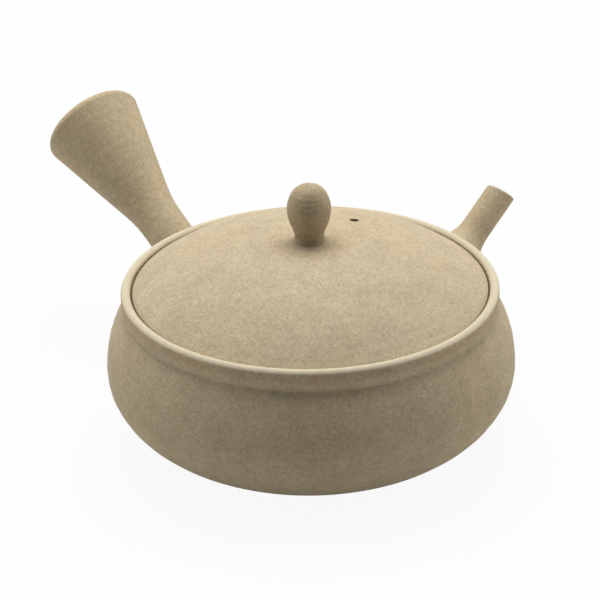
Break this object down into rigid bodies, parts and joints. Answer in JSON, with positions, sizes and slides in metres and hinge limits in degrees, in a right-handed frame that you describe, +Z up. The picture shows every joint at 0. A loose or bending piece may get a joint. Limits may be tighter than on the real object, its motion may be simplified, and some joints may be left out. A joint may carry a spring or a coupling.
{
  "type": "side-handled teapot",
  "caption": "Low round stoneware teapot with a hollow side handle, a short spout with an inside strainer, and a domed lift-off lid with a knob and steam vent.",
  "frame": {"origin": "centre of the flat base, on the table", "axes": "+Z up through the pot's centre and the knob, +X the way the spout points, +Y close to the handle, which stands 84 degrees round from the spout"},
  "size_m": [0.1568, 0.1936, 0.0851],
  "materials": {
    "pot_clay": "matte unglazed sandy stoneware",
    "handle_clay": "matte unglazed sandy stoneware",
    "spout_clay": "matte unglazed sandy stoneware",
    "strainer_clay": "matte unglazed sandy stoneware",
    "lid_clay": "matte unglazed sandy stoneware",
    "knob_clay": "matte unglazed sandy stoneware"
  },
  "bodies": {
    "pot": {"pot_body": "pot_clay", "handle": "handle_clay", "spout": "spout_clay", "strainer": "strainer_clay"},
    "lid": {"lid": "lid_clay", "lid_knob": "knob_clay"}
  },
  "joints": [
    {"name": "lid_lift", "type": "slide", "parent": "pot", "child": "lid", "axis": [0, 0, 1], "range_m": [0, 0.06]}
  ]
}
